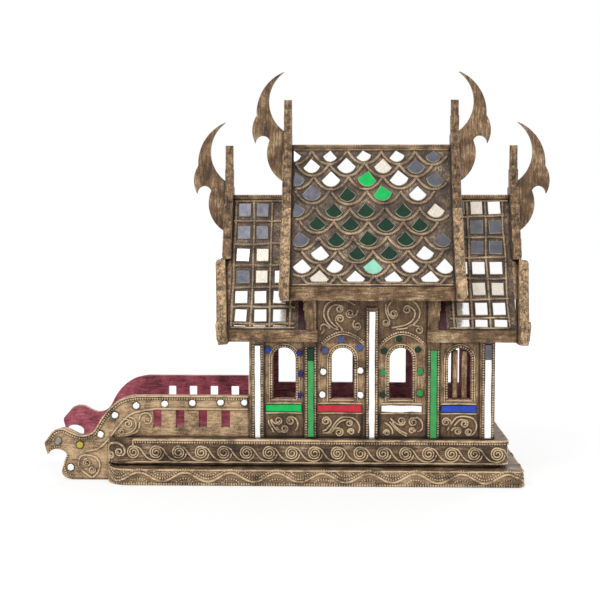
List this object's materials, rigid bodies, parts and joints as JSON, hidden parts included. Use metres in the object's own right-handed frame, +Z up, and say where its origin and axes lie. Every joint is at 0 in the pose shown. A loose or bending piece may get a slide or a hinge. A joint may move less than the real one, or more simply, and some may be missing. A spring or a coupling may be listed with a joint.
{
  "type": "tabletop spirit house",
  "caption": "Tabletop spirit house in gilded wood and glass mosaic: a hall under a raised middle roof, a lower roof at each end, and a porch between naga balustrades.",
  "frame": {"origin": "underside of the base, below the middle of the hall", "axes": "+X along the hall from the porch to the rear, +Y across it to the far side, +Z up"},
  "size_m": [0.5232, 0.1774, 0.4166],
  "materials": {
    "gilded_wood": "carved wood under worn antique gold, dark in the hollows",
    "base_wood": "dark brown board with raised gilded rope scrolls",
    "roof_wood": "dark brown board that carries rope lines and pieces of mirror and green glass",
    "lacquered_wood": "dull crimson paint inside, gilded relief outside"
  },
  "bodies": {
    "root": {"base_lower_step": "base_wood", "base_recessed_band": "base_wood", "base_upper_frame": "base_wood", "far_balustrade": "gilded_wood", "far_posts": "gilded_wood", "far_side_wall": "lacquered_wood", "floor_board": "lacquered_wood", "front_bargeboard": "gilded_wood", "front_fascia_far": "gilded_wood", "front_fascia_near": "gilded_wood", "front_finial": "gilded_wood", "front_pediment": "gilded_wood", "front_ridge_cap": "gilded_wood", "front_roof_far": "roof_wood", "front_roof_near": "roof_wood", "front_skirts": "gilded_wood", "front_wall": "lacquered_wood", "near_balustrade": "gilded_wood", "near_posts": "gilded_wood", "near_side_wall": "lacquered_wood", "rear_bargeboard": "gilded_wood", "rear_fascia_far": "gilded_wood", "rear_fascia_near": "gilded_wood", "rear_finial": "gilded_wood", "rear_pediment": "gilded_wood", "rear_ridge_cap": "gilded_wood", "rear_roof_far": "roof_wood", "rear_roof_near": "roof_wood", "rear_skirts": "gilded_wood", "rear_wall": "lacquered_wood", "upper_fascia_far": "gilded_wood", "upper_fascia_near": "gilded_wood", "upper_front_bargeboard": "gilded_wood", "upper_front_finial": "gilded_wood", "upper_front_gable_wall": "lacquered_wood", "upper_front_skirts": "gilded_wood", "upper_rear_bargeboard": "gilded_wood", "upper_rear_finial": "gilded_wood", "upper_rear_gable_wall": "lacquered_wood", "upper_rear_skirts": "gilded_wood", "upper_ridge_cap": "gilded_wood", "upper_roof_far": "roof_wood", "upper_roof_near": "roof_wood"}
  },
  "joints": []
}
